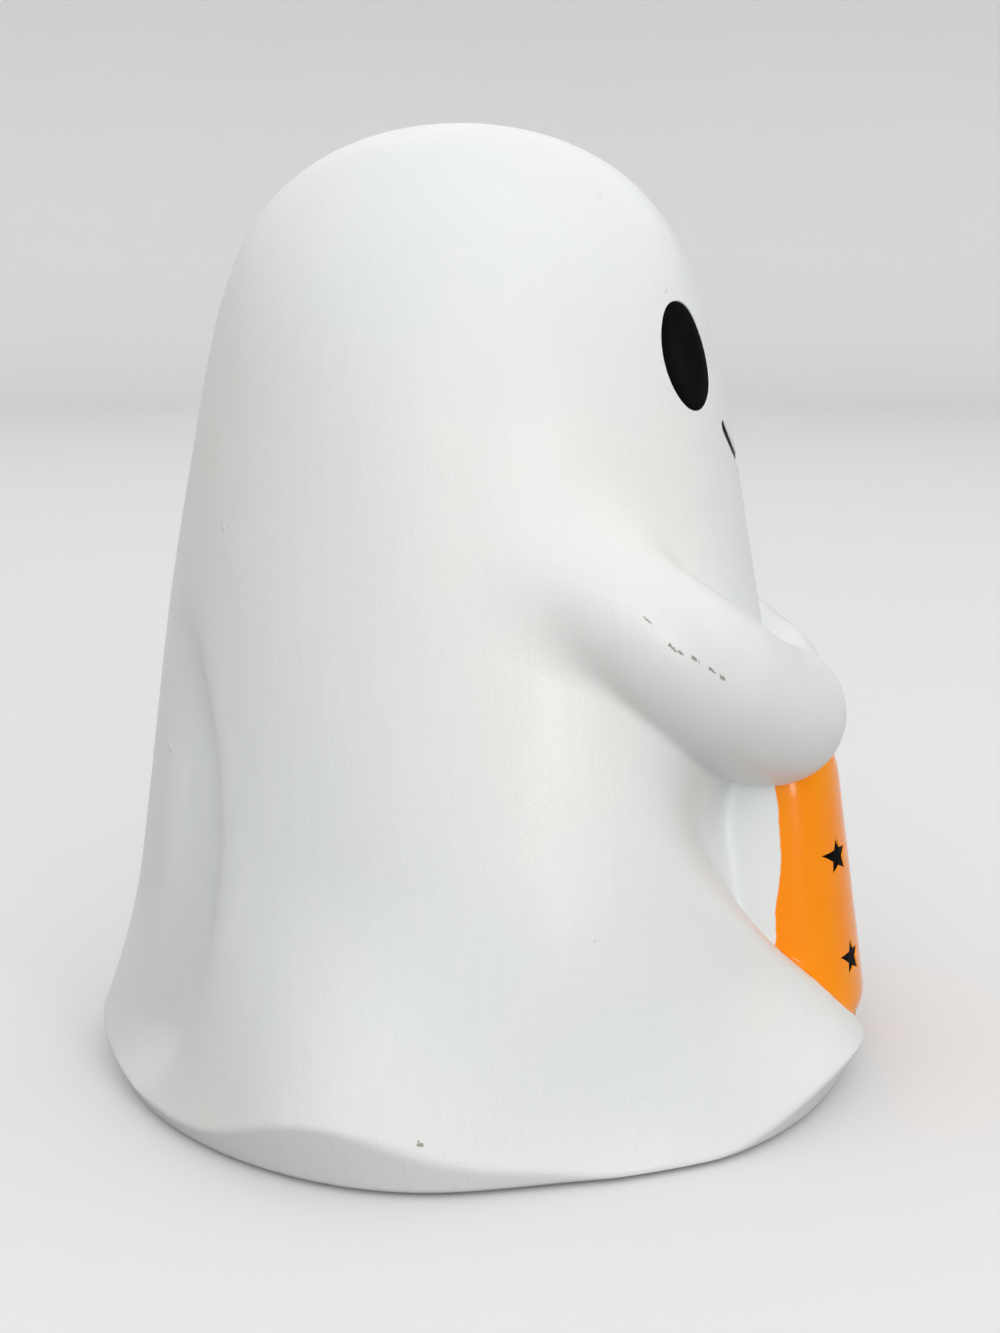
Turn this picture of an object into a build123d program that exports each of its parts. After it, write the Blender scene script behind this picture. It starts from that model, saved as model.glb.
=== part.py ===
from build123d import *
import math
import os

# A slip-cast ceramic ghost under a draped sheet, holding a treat bag against its belly.
# Millimetres. +Z is up, the ghost looks along -Y and its right side is -X.
# The origin is on the table, on the axis of the pour hole in the base.
# Plan angles are counted from the front (-Y), alike on both sides.

# Cast body: profile of the sheet
FIGURE_HEIGHT = 200.0       # table to crown
WAIST_HEIGHT = 105.0        # where the skirt's taper meets the head's taper
WAIST_HALF_DEPTH = 62.7
WAIST_HALF_WIDTH = 62.0
HEAD_TAPER = 0.195          # loss of half size for each mm above the waist
SKIRT_TAPER = 0.156         # gain of half size for each mm below the waist
TAPER_BLEND = 20.0          # height over which the two tapers run into each other
CROWN_POWER = 6.4           # how squarely the crown turns over
HEM_FLARE_DEPTH = 7.0       # extra spread of the hem, front and back
HEM_FLARE_WIDTH = 2.0       # extra spread of the hem, at the sides
HEM_FLARE_HEIGHT = 17.0     # how fast that spread fades upwards
HEAD_SETBACK = 4.4          # how far the crown stands behind the base's centre
SETBACK_HEIGHT = 55.0       # how fast the figure leans back

# Folds of the sheet: angle, spread in degrees, push at the table, full below, gone above
FOLDS = (
    (180.0, 17.0, 3.4, 0.0, 45.0),      # back lobe of the hem
    (145.0, 10.0, -4.0, 0.0, 135.0),    # long fold behind the side
    (111.0, 16.0, 7.8, 0.0, 60.0),      # side lobe of the hem
    (72.0, 20.0, -3.2, 0.0, 60.0),      # hollow of the side
    (24.0, 18.0, 12.5, 0.0, 34.0),      # front corner of the hem
    (0.0, 42.0, -4.0, 50.0, 100.0),     # hollow of the belly behind the bag
)

# Belly: the sheet parts in front, and the parting narrows towards the hem
BELLY_DEPTH = 10.5
BELLY_EDGE = 24.0           # angle of the parting's edge at the next height
BELLY_EDGE_HEIGHT = 25.0
BELLY_EDGE_SLOPE = 0.97     # degrees that the edge moves out for each mm of height
BELLY_EDGE_LEAST = 0.0
BELLY_EDGE_MOST = 63.0
BELLY_EDGE_BLEND = 24.0     # degrees over which the edge runs into its greatest angle
BELLY_EDGE_WIDTH = 14.0     # degrees from the edge to the full depth
BELLY_EDGE_WIDEN = 0.25     # growth of that for each mm above the height
BELLY_FULL = 52.0           # full below this height
BELLY_TOP = 92.0            # gone above this height

# Foot: the hem is trimmed back to this ring
FOOT_RADIUS = 80.7
FOOT_UNDERCUT_SIDE = 0.25   # growth of the ring for each mm of height, at the sides
FOOT_UNDERCUT_FRONT = 0.60  # the same at the front and the back
FOOT_DENT = 4.5             # depth of the ring's flat at each side
FOOT_DENT_ANGLE = 79.0
FOOT_DENT_SPREAD = 18.0
TRIM_HEIGHT = 45.0          # the trim ends below this height

# Casting
WALL = 5.0
BASE_THICKNESS = 6.0
POUR_HOLE_RADIUS = 9.0

# Face: black enamel in pressed recesses
RECESS_DEPTH = 1.8          # floor of a recess below the face
ENAMEL_SUNK = 0.7           # surface of the enamel below the face
EYE_WIDTH = 18.0
EYE_HEIGHT = 21.0
EYE_ANGLE = 31.5
EYE_LEVEL = 154.5
SMILE_WIDTH = 34.0
SMILE_DROP = 9.0            # middle of the smile below its ends
SMILE_LINE = 2.2            # width of the drawn line
SMILE_LEVEL = 130.5         # height of the middle of the smile

# Arms: plan angle, height, standoff of the middle line from the sheet, radius
SHOULDER = (71.0, 116.0, -20.0, 15.0)
ELBOW = (56.0, 104.6, -3.0, 14.4)
FOREARM = (41.5, 92.6, -1.6, 15.6)
HAND_HEIGHT = 78.7
HAND_STANDOFF = 2.3         # middle of the hand in front of the sheet
HAND_RADIUS = 15.2
HANDS_GAP = 0.6             # the two hands lie this far apart

# Treat bag
BAG_BOTTOM = 5.0
BAG_HEIGHT = 65.0
BAG_HALF_WIDTH = 28.5
BAG_HALF_DEPTH = 21.5
BAG_TAPER_WIDTH = 0.10      # loss of half size for each mm of height
BAG_TAPER_DEPTH = 0.09
BAG_OVERHANG = 6.1          # front of the bag at its bottom, in front of the foot's ring
BAG_LEAN = 0.150            # the front falls back by this for each mm of height
BAG_ROUND = 11.0            # height of the rounded bottom
BAG_SEAT = 0.45             # share of the width that the bottom keeps
BAG_SQUARENESS = 2.4        # 2 would be an ellipse

# Marks pressed into the bag and filled with black enamel
MOON_RADIUS = 9.0
MOON_BITE_RADIUS = 8.0
MOON_BITE_SHIFT = 4.6
MOON_LEVEL = 36.0
STAR_OUTER_RADIUS = 4.2
STAR_INNER_RADIUS = 1.9
STAR_POINTS = 5
STAR_SIDE = 17.5            # the stars stand this far to each side
STAR_RISE = 11.5            # and this far above and below the moon

# Felt pads under the base
PAD_RADIUS = 7.0
PAD_THICKNESS = 2.0
PAD_SUNK = 1.4              # depth of its seat in the base
PAD_CIRCLE_RADIUS = 62.0
PAD_COUNT = 4

# Finish of the lofted forms
SECTION_POINTS = 40         # points round one section
SKIRT_LEVELS = 8
HEAD_LEVELS = 6
FACE_LEVELS = 4             # sections of the face's surface
FACE_POINTS = 20
FACE_MARGIN = 6.0           # height of that surface above the eyes and below the smile
CROWN_RING = 0.9985         # last ring of the crown, as a share of the head's height
BAG_LEVELS = 12
TOOL_REACH = 40.0           # cutting tools run this far past what they cut
TRIM_OVERRUN = 10.0         # the trim's tools run this far past its top and the table
EYE_BAR_REACH = 13.0        # the eyes' tools run this far in and out from the face

FOOT_LEVEL = PAD_THICKNESS - PAD_SUNK
BAG_FRONT = FOOT_RADIUS + BAG_OVERHANG


def fade(share):
    """Go smoothly from 0 to 1 while the share goes from 0 to 1."""
    share = min(max(share, 0.0), 1.0)
    return share * share * (3.0 - 2.0 * share)


def bell(degrees, spread):
    """Bell curve of an angle."""
    turned = (degrees + 180.0) % 360.0 - 180.0
    return math.exp(-((turned / spread) ** 2))


def on_both_sides(degrees, angle, spread):
    """Bell curves at an angle on the right side and on the left side."""
    if angle in (0.0, 180.0):
        return bell(degrees - angle, spread)
    return bell(degrees - angle, spread) + bell(degrees + angle, spread)


def half_size(z, waist, flare, crown):
    """Half size of the sheet at a height, for the width or for the depth."""
    above = z - WAIST_HEIGHT
    blend = math.hypot(above, TAPER_BLEND) - TAPER_BLEND
    size = waist - (HEAD_TAPER + SKIRT_TAPER) / 2 * above
    size = size - (HEAD_TAPER - SKIRT_TAPER) / 2 * blend
    size = size + flare * math.exp(-z / HEM_FLARE_HEIGHT)
    rise = max(above / (crown - WAIST_HEIGHT), 0.0)
    return size * math.sqrt(max(1.0 - rise ** CROWN_POWER, 0.0))


def fold_push(degrees, z):
    """How far the folds push the sheet out at an angle and a height."""
    push = 0.0
    for angle, spread, amount, full, gone in FOLDS:
        strength = fade((gone - z) / (gone - full))
        push = push + amount * strength * on_both_sides(degrees, angle, spread)
    aside = abs((degrees + 180.0) % 360.0 - 180.0)
    return push - belly_depth(aside, z)


def lesser(first, second, reach):
    """Smaller of two values, with a rounded corner of that reach where they are close."""
    close = max(reach - abs(first - second), 0.0) / reach
    return min(first, second) - close ** 3 * reach / 6.0


def belly_depth(aside, z):
    """How far the belly lies behind the sheet, inside the parting."""
    edge = BELLY_EDGE + BELLY_EDGE_SLOPE * (z - BELLY_EDGE_HEIGHT)
    edge = max(lesser(edge, BELLY_EDGE_MOST, BELLY_EDGE_BLEND), BELLY_EDGE_LEAST)
    width = BELLY_EDGE_WIDTH + BELLY_EDGE_WIDEN * max(z - BELLY_EDGE_HEIGHT, 0.0)
    inside = fade((edge - aside) / width)
    return BELLY_DEPTH * inside * fade((BELLY_TOP - z) / (BELLY_TOP - BELLY_FULL))


def sheet_point(degrees, z, inset=0.0):
    """Point of the sheet, or of a surface set in from it."""
    crown = FIGURE_HEIGHT - inset
    push = fold_push(degrees, z)
    along_x = half_size(z, WAIST_HALF_WIDTH - inset, HEM_FLARE_WIDTH, crown) + push
    along_y = half_size(z, WAIST_HALF_DEPTH - inset, HEM_FLARE_DEPTH, crown) + push
    setback = HEAD_SETBACK * (1.0 - math.exp(-z / SETBACK_HEIGHT))
    turn = math.radians(degrees)
    return Vector(-along_x * math.sin(turn), setback - along_y * math.cos(turn), z)


def ring_angles(count=SECTION_POINTS):
    """Angles of the points round a section."""
    return [360.0 * step / count for step in range(count)]


def closed_face(points):
    """Flat face inside a smooth closed curve."""
    return make_face(Spline(*points, periodic=True))


def sheet_levels(bottom, inset):
    """Heights of the sections, closer together towards the crown."""
    crown = FIGURE_HEIGHT - inset
    skirt = [bottom + (WAIST_HEIGHT - bottom) * step / SKIRT_LEVELS for step in range(SKIRT_LEVELS)]
    quarter = [math.sin(math.pi / 2 * step / HEAD_LEVELS) for step in range(HEAD_LEVELS)]
    head = [WAIST_HEIGHT + (crown - WAIST_HEIGHT) * rise for rise in quarter + [CROWN_RING]]
    return skirt + head


def sheet_form(bottom, inset=0.0):
    """Solid inside the sheet, from a height up to the crown."""
    sections = []
    for z in sheet_levels(bottom, inset):
        sections.append(closed_face([sheet_point(degrees, z, inset) for degrees in ring_angles()]))
    crown = FIGURE_HEIGHT - inset
    return loft(sections + [Vertex(*sheet_point(0.0, crown, inset))])


def face_form(inset):
    """Slice of the head at the height of the face, set in from the sheet."""
    low = SMILE_LEVEL - FACE_MARGIN
    high = EYE_LEVEL + EYE_HEIGHT / 2 + FACE_MARGIN
    sections = []
    for step in range(FACE_LEVELS + 1):
        z = low + (high - low) * step / FACE_LEVELS
        sections.append(closed_face([sheet_point(turn, z, inset) for turn in ring_angles(FACE_POINTS)]))
    return loft(sections)


def foot_section(z, inset):
    """Face inside the foot's trim ring at a height."""
    points = []
    for degrees in ring_angles():
        dent = FOOT_DENT * on_both_sides(degrees, FOOT_DENT_ANGLE, FOOT_DENT_SPREAD)
        radius = FOOT_RADIUS - dent - inset
        turn = math.radians(degrees)
        along_x = radius + FOOT_UNDERCUT_SIDE * z
        along_y = radius + FOOT_UNDERCUT_FRONT * z
        points.append(Vector(-along_x * math.sin(turn), -along_y * math.cos(turn), z))
    return closed_face(points)


def trim_waste(inset):
    """Everything round the foot that the trim takes away."""
    block = disc(FOOT_RADIUS + 2 * TOOL_REACH, -TRIM_OVERRUN, TRIM_HEIGHT + TRIM_OVERRUN)
    lowest = foot_section(-TRIM_OVERRUN, inset)
    highest = foot_section(TRIM_HEIGHT + TRIM_OVERRUN, inset)
    return block - loft([lowest, highest], ruled=True)


def eye_bar():
    """Oval bar through the right eye, square to the face there."""
    turn = math.radians(EYE_ANGLE)
    plane = Plane(
        origin=sheet_point(EYE_ANGLE, EYE_LEVEL),
        x_dir=(math.cos(turn), -math.sin(turn), 0),
        z_dir=(-math.sin(turn), -math.cos(turn), 0),
    )
    return extrude(plane * Ellipse(EYE_WIDTH / 2, EYE_HEIGHT / 2), amount=EYE_BAR_REACH, both=True)


def smile_bar():
    """Bar of the smile's curved line, from inside the head out through the face."""
    half = SMILE_WIDTH / 2
    ends = SMILE_LEVEL + SMILE_DROP
    line = ThreePointArc((-half, ends), (0, SMILE_LEVEL), (half, ends))
    return extrude(Plane.XZ * SlotArc(line, SMILE_LINE), amount=WAIST_HALF_DEPTH + TOOL_REACH)


def arm_point(station):
    """Middle point of an arm section, measured from the sheet."""
    degrees, height, standoff, _ = station
    turn = math.radians(degrees)
    outwards = Vector(-math.sin(turn), -math.cos(turn), 0)
    return sheet_point(degrees, height) + outwards * standoff


def hand_point():
    """Middle of the right hand: the two hands meet in front of the belly."""
    front = sheet_point(0.0, HAND_HEIGHT).Y
    return Vector(-HAND_RADIUS - HANDS_GAP / 2, front - HAND_STANDOFF, HAND_HEIGHT)


def arm_form():
    """Sleeve of the right arm with a round end, from inside the body to the hand."""
    stations = (SHOULDER, ELBOW, FOREARM)
    points = [arm_point(station) for station in stations] + [hand_point()]
    radii = [station[3] for station in stations] + [HAND_RADIUS]
    line = Spline(*points)
    sections = []
    for point, radius in zip(points, radii):
        along = line.tangent_at(line.param_at_point(point))
        sections.append(Plane(origin=point, z_dir=along) * Circle(radius))
    return loft(sections) + Pos(*points[-1]) * Sphere(HAND_RADIUS)


def bag_section(z, inset):
    """Face of the bag at a height: a rounded, nearly square oval."""
    bottom = BAG_BOTTOM + inset
    above = z - bottom
    left = min(max(1.0 - above / BAG_ROUND, 0.0), 1.0)
    swell = BAG_SEAT + (1.0 - BAG_SEAT) * math.sqrt(1.0 - left * left)
    half_width = (BAG_HALF_WIDTH - BAG_TAPER_WIDTH * above) * swell - inset
    full_depth = BAG_HALF_DEPTH - BAG_TAPER_DEPTH * above
    half_depth = full_depth * swell - inset
    middle = full_depth - BAG_FRONT + BAG_LEAN * (z - BAG_BOTTOM)
    points = []
    for degrees in ring_angles():
        turn = math.radians(degrees)
        across = math.copysign(abs(math.cos(turn)) ** (2 / BAG_SQUARENESS), math.cos(turn))
        along = math.copysign(abs(math.sin(turn)) ** (2 / BAG_SQUARENESS), math.sin(turn))
        points.append(Vector(half_width * across, middle + half_depth * along, z))
    return closed_face(points)


def bag_form(inset=0.0):
    """Solid of the whole bag, before the body and the hands are cut out of it."""
    bottom = BAG_BOTTOM + inset
    height = BAG_HEIGHT - inset
    quarter = [1.0 - math.cos(math.pi / 2 * step / BAG_LEVELS) for step in range(BAG_LEVELS + 1)]
    return loft([bag_section(bottom + height * rise, inset) for rise in quarter])


def mark_bar(outline, x, z):
    """Bar of a mark, from inside the bag out through its front."""
    start = Plane.XZ.offset(BAG_FRONT - BAG_HALF_DEPTH)
    return extrude(start * Pos(x, z) * outline, amount=BAG_HALF_DEPTH + TOOL_REACH)


def moon_outline():
    """Crescent moon."""
    return Circle(MOON_RADIUS) - Pos(MOON_BITE_SHIFT, 0) * Circle(MOON_BITE_RADIUS)


def star_outline():
    """Star standing on two of its points."""
    corners = []
    for step in range(2 * STAR_POINTS):
        radius = STAR_OUTER_RADIUS if step % 2 == 0 else STAR_INNER_RADIUS
        turn = math.pi / 2 + math.pi * step / STAR_POINTS
        corners.append((radius * math.cos(turn), radius * math.sin(turn)))
    return make_face(Polyline(*corners, close=True))


def pad_places():
    """Middles of the felt pads under the base."""
    places = []
    for step in range(PAD_COUNT):
        turn = 2 * math.pi * (step + 0.5) / PAD_COUNT
        places.append((PAD_CIRCLE_RADIUS * math.cos(turn), PAD_CIRCLE_RADIUS * math.sin(turn)))
    return places


def disc(radius, bottom, thickness, place=(0.0, 0.0)):
    """Flat round disc standing at a height."""
    shape = Cylinder(radius, thickness, align=(Align.CENTER, Align.CENTER, Align.MIN))
    return Pos(place[0], place[1], bottom) * shape


def mirrored(shape):
    """The same shape on the figure's left side."""
    return mirror(shape, about=Plane.YZ)


nodes = {}

# Forms that several pieces are cut from
sheet = sheet_form(FOOT_LEVEL)
enamel_top = face_form(ENAMEL_SUNK)
enamel_floor = face_form(RECESS_DEPTH)
right_arm = arm_form()
left_arm = mirrored(right_arm)

# Enamel of the face and the recesses that hold it
eye_recess = eye_bar() - enamel_floor
smile_recess = smile_bar() - enamel_floor
nodes["right_eye"] = eye_recess & enamel_top
nodes["left_eye"] = mirrored(nodes["right_eye"])
nodes["smile"] = smile_recess & enamel_top

# Body: hollow casting with its base, pour hole, face recesses and pad seats
cavity = sheet_form(BASE_THICKNESS, WALL) - trim_waste(WALL)
pour_hole = disc(POUR_HOLE_RADIUS, FOOT_LEVEL - BASE_THICKNESS, 2 * BASE_THICKNESS)
pads = [disc(PAD_RADIUS, 0.0, PAD_THICKNESS, place) for place in pad_places()]
recesses = [eye_recess, mirrored(eye_recess), smile_recess]
nodes["body_shell"] = sheet - [trim_waste(0.0), *recesses] - [cavity, pour_hole, *pads]

# Arms, cut to sit on the sheet
nodes["right_arm"] = right_arm - sheet
nodes["left_arm"] = left_arm - sheet

# Bag, cut to sit on the belly and under the hands, with its enamel marks
mark_top = bag_form(ENAMEL_SUNK)
mark_floor = bag_form(RECESS_DEPTH)
marks = {"bag_moon": mark_bar(moon_outline(), 0.0, MOON_LEVEL) - mark_floor}
for index, (across, up) in enumerate(((-1, -1), (-1, 1), (1, -1), (1, 1)), start=1):
    bar = mark_bar(star_outline(), across * STAR_SIDE, MOON_LEVEL + up * STAR_RISE)
    marks[f"bag_star_{index}"] = bar - mark_floor
for name, mark in marks.items():
    nodes[name] = mark & mark_top
nodes["treat_bag"] = bag_form() - [sheet, right_arm, left_arm] - list(marks.values())

# Felt pads
for index, pad in enumerate(pads, start=1):
    nodes[f"foot_pad_{index}"] = pad

os.makedirs("parts", exist_ok=True)
for name, shape in nodes.items():
    shape.label = name
    export_step(shape, f"parts/{name}.step")
    print(name, "solids", len(shape.solids()), "volume", round(shape.volume / 1000, 2), "cm3")
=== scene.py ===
import math

import bmesh
import bpy
import numpy as np
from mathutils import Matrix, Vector


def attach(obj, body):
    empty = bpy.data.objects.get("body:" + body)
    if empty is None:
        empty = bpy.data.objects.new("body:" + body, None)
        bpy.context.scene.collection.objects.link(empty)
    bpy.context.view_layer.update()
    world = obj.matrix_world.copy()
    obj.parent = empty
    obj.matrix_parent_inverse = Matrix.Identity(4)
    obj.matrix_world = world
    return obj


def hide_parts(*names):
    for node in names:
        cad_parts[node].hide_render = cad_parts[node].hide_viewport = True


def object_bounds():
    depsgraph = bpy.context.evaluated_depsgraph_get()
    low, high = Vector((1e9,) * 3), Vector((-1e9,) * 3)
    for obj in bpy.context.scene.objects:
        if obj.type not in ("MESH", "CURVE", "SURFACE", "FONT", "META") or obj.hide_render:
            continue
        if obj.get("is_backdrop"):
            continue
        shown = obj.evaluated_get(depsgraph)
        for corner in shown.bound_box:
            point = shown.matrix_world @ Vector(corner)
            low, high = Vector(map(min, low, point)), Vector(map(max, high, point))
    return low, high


# A ceramic ghost under a draped sheet, holding a treat bag against its belly.
# Shapes are worked out in millimetres and stored in metres. The ghost looks along -Y, its right is -X.
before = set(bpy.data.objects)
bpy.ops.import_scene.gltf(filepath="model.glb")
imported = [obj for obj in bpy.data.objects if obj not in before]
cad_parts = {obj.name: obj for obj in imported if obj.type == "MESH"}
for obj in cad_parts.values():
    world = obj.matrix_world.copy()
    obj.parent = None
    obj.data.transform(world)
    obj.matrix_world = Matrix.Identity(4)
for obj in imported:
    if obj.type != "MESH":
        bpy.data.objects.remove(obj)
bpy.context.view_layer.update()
MM = 0.001

# Cast body: profile of the sheet
FIGURE_HEIGHT = 200.0
WAIST_HEIGHT = 105.0
WAIST_HALF_DEPTH = 62.7
WAIST_HALF_WIDTH = 62.0
HEAD_TAPER = 0.195
SKIRT_TAPER = 0.156
TAPER_BLEND = 20.0
CROWN_POWER = 6.4
HEM_FLARE_DEPTH = 7.0
HEM_FLARE_WIDTH = 2.0
HEM_FLARE_HEIGHT = 17.0
HEAD_SETBACK = 4.4
SETBACK_HEIGHT = 55.0

# Folds of the sheet: angle, spread in degrees, outward push, full below this height, gone above that
FOLDS = (
    (180.0, 17.0, 3.4, 0.0, 45.0),
    (111.0, 16.0, 7.8, 0.0, 60.0),
    (72.0, 20.0, -3.2, 0.0, 60.0),
    (24.0, 18.0, 12.5, 0.0, 34.0),
    (0.0, 42.0, -4.0, 50.0, 100.0),
)

# Long fold behind each side: sharp towards the side, soft behind, and bent back above and below
VALLEY_DEPTH = 5.2
VALLEY_ANGLE = 139.0
VALLEY_BEND = 0.0054
VALLEY_BEND_HEIGHT = 53.0
VALLEY_SPREAD_SIDE = 3.6
VALLEY_SPREAD_FOOT = 3.0
VALLEY_SPREAD_BEHIND = 10.0
VALLEY_FOOT = 18.0
VALLEY_FULL = 75.0
VALLEY_TOP = 110.0

# Belly: the sheet parts in front, and the parting narrows towards the hem
BELLY_DEPTH = 10.5
BELLY_EDGE = 24.0
BELLY_EDGE_HEIGHT = 25.0
BELLY_EDGE_SLOPE = 0.97
BELLY_EDGE_LEAST = 0.0
BELLY_EDGE_MOST = 63.0
BELLY_EDGE_BLEND = 24.0
BELLY_EDGE_WIDTH = 14.0
BELLY_EDGE_WIDEN = 0.18
BELLY_FULL = 52.0
BELLY_TOP = 92.0

# Waver of a hand-finished surface: its height, and waves round the sheet, length up it and phase
WAVER = 0.16
WAVERS = ((3, 19.0, 0.0), (7, 11.0, 1.3))

# Felt pads
PAD_RADIUS = 7.0
PAD_THICKNESS = 2.0
PAD_SUNK = 1.4
PAD_CLEARANCE = 0.1
PAD_EDGE = 0.3
PAD_CIRCLE_RADIUS = 62.0
PAD_COUNT = 4

# Foot: the hem is trimmed back to this ring, and its edges are rubbed round
FOOT_RADIUS = 80.7
FOOT_UNDERCUT_SIDE = 0.25
FOOT_UNDERCUT_FRONT = 0.60
FOOT_DENT = 4.5
FOOT_DENT_ANGLE = 79.0
FOOT_DENT_SPREAD = 18.0
FOOT_LEVEL = PAD_THICKNESS - PAD_SUNK
HEM_ROUND = 0.7
FOOT_ROUND = 1.3

# Casting
WALL = 5.0
BASE_THICKNESS = 6.0
POUR_HOLE_RADIUS = 9.0

# Face
RECESS_DEPTH = 1.8
ENAMEL_SUNK = 0.7
LIP = 0.3
EYE_WIDTH = 18.0
EYE_HEIGHT = 21.0
EYE_ANGLE = 31.5
EYE_LEVEL = 154.5
# Uneven brushing of the eye's edge: angle, spread in degrees, share of the size
EYE_WAVES = ((-32.0, 24.0, 0.045), (28.0, 26.0, -0.05), (118.0, 22.0, 0.025))
SMILE_WIDTH = 34.0
SMILE_DROP = 9.0
SMILE_LINE = 2.6
SMILE_LEVEL = 130.5
FACE_START = 0.8 * WAIST_HALF_DEPTH

# Layers of an inlay or its cutter, from the top down: inset from the surface, growth, dish at the middle
EYE_LAYERS = ((0.16, -0.03, ENAMEL_SUNK), (0.3, 0.0, 0.0), (RECESS_DEPTH, 0.0, 0.0))
ENAMEL_LAYERS = ((0.2, -0.08, 0.12), (0.34, 0.0, 0.0), (RECESS_DEPTH, 0.0, 0.0))
CUTTER_LAYERS = (
    (-3.0, LIP, 0.0),
    (-0.1, LIP, 0.0),
    (0.12, 0.16, 0.0),
    (0.4, 0.0, 0.0),
    (RECESS_DEPTH, 0.0, 0.0),
)

# Arms: plan angle, height, standoff of the middle line from the sheet, radius
SHOULDER = (71.0, 116.0, -20.0, 15.0)
ELBOW = (56.0, 104.6, -3.0, 14.4)
FOREARM = (41.5, 92.6, -1.6, 15.6)
HAND_HEIGHT = 78.7
HAND_STANDOFF = 2.3
HAND_RADIUS = 15.2
HANDS_GAP = 0.6
SHOULDER_BLEND = 14.0
ARM_BLEND = 2.5
SHOULDER_SHARE = 0.42

# Treat bag
BAG_BOTTOM = 5.0
BAG_HEIGHT = 65.0
BAG_HALF_WIDTH = 28.5
BAG_HALF_DEPTH = 21.5
BAG_TAPER_WIDTH = 0.10
BAG_TAPER_DEPTH = 0.09
BAG_OVERHANG = 6.1
BAG_FRONT = FOOT_RADIUS + BAG_OVERHANG
BAG_LEAN = 0.150
BAG_ROUND = 11.0
BAG_SEAT = 0.45
BAG_SQUARENESS = 2.4
BAG_BLEND = 6.0
BAG_BLEND_LOW = 0.8
BAG_BLEND_FROM = 30.0
BAG_BLEND_FULL = 52.0
BAG_TOP_ROUND = 9.0

# Marks on the bag
MOON_RADIUS = 9.0
MOON_BITE_RADIUS = 8.0
MOON_BITE_SHIFT = 4.6
MOON_LEVEL = 36.0
STAR_OUTER_RADIUS = 4.2
STAR_INNER_RADIUS = 1.9
STAR_POINTS = 5
STAR_SIDE = 17.5
STAR_RISE = 11.5

# Paint: the orange ends this far in front of the middle, along a wavy edge
PAINT_EDGE = 62.3
PAINT_EDGE_SOFT = 0.15
PAINT_WAVE = 4.0
PAINT_RAGGED = 0.9

# Wear: the line that rub marks follow on the right sleeve, then each mark's middle, half length, half width
SCUFF_START = (-62.8, -29.5, 110.4)
SCUFF_END = (-58.3, -46.7, 95.5)
SCUFFS = (
    ((-62.7, -31.5, 108.3), 1.8, 0.25),
    ((-62.6, -35.4, 103.7), 1.5, 0.45),
    ((-62.3, -37.2, 102.5), 1.0, 0.35),
    ((-61.4, -40.1, 101.1), 1.4, 0.45),
    ((-60.0, -43.3, 98.7), 1.2, 0.35),
    ((-58.9, -45.7, 96.7), 1.6, 0.45),
    ((-80.1, 11.3, 11.9), 0.9, 0.6),
)

# Colours
WHITE_COOL = (0.775, 0.800, 0.795)
WHITE_WARM = (0.815, 0.810, 0.795)
WHITE_BRUSHED = (0.845, 0.85, 0.84)
DUST_COLOUR = (0.42, 0.41, 0.38)
SCUFF_COLOUR = (0.20, 0.16, 0.10)
ORANGE_DEEP = (1.0, 0.26, 0.0)
ORANGE_LIGHT = (1.0, 0.33, 0.0)
ENAMEL_DEEP = (0.002, 0.002, 0.0025)
ENAMEL_LIGHT = (0.004, 0.004, 0.004)
FELT_DARK = (0.50, 0.49, 0.46)
FELT_LIGHT = (0.68, 0.67, 0.64)

# Strength of the finish: tints, shares of the relief and of the gloss
DUST_TINT = 0.4
SCUFF_TINT = 0.75
BRUSH_RELIEF = 0.7
GRAIN_RELIEF = 0.3
SCUFF_RELIEF = 0.8
DRIP_RELIEF = 0.7
GLAZE_SPECULAR = 0.2
ENAMEL_SPECULAR = 0.006
GLAZE_SMOOTHING = 0.8
GLAZE_RELIEF = 0.25

# Studio: camera in millimetres and degrees, the rest in metres
CAMERA_PLACE = (-411.0, -3.7, 182.0)
CAMERA_PITCH = 13.25
CAMERA_LENS = 52.0
CAMERA_SENSOR = 36.0
CAMERA_NEAREST = 0.01
# Lamps: name, place, target, size, power
LAMPS = (
    ("key", (-1.25, -0.1, 0.5), (0.0, 0.0, 0.1), (1.5, 1.1), 4.7),
    ("front", (-1.0, -0.6, 0.22), (0.0, 0.0, 0.08), (0.10, 0.38), 2.4),
)
ROOM_LIGHT_COLOUR = (0.985, 0.99, 0.98, 1.0)
ROOM_LIGHT_SIDE = 1.68
ROOM_LIGHT_OVERHEAD = 0.74
FLOOR_TONE = (0.82, 0.82, 0.825)
FLOOR_MOTTLE = 1.02
FLOOR_BOUNCE = (0.18, 0.18, 0.18)
FLOOR_MIDDLE = 0.4
FLOOR_RADIUS = 1.5
FLOOR_SWEEP = 0.45
BACKDROP_HEIGHT = 0.7

# Rows and columns of the body's mesh
COLUMNS = 288
VALLEY_COLUMNS = 2.2
VALLEY_COLUMN_SPREAD = 13.0
HEAD_END_ANGLE = 38.0
HEAD_ROWS = 62
SIDE_ROWS = 76
SKIRT_START = 44.0
SKIRT_ROWS = 84
UNDERSIDE_ROWS = 9
BASE_ROWS = 6
HOLLOW_ROWS = 22
HOLLOW_CROWN_ROWS = 16

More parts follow.
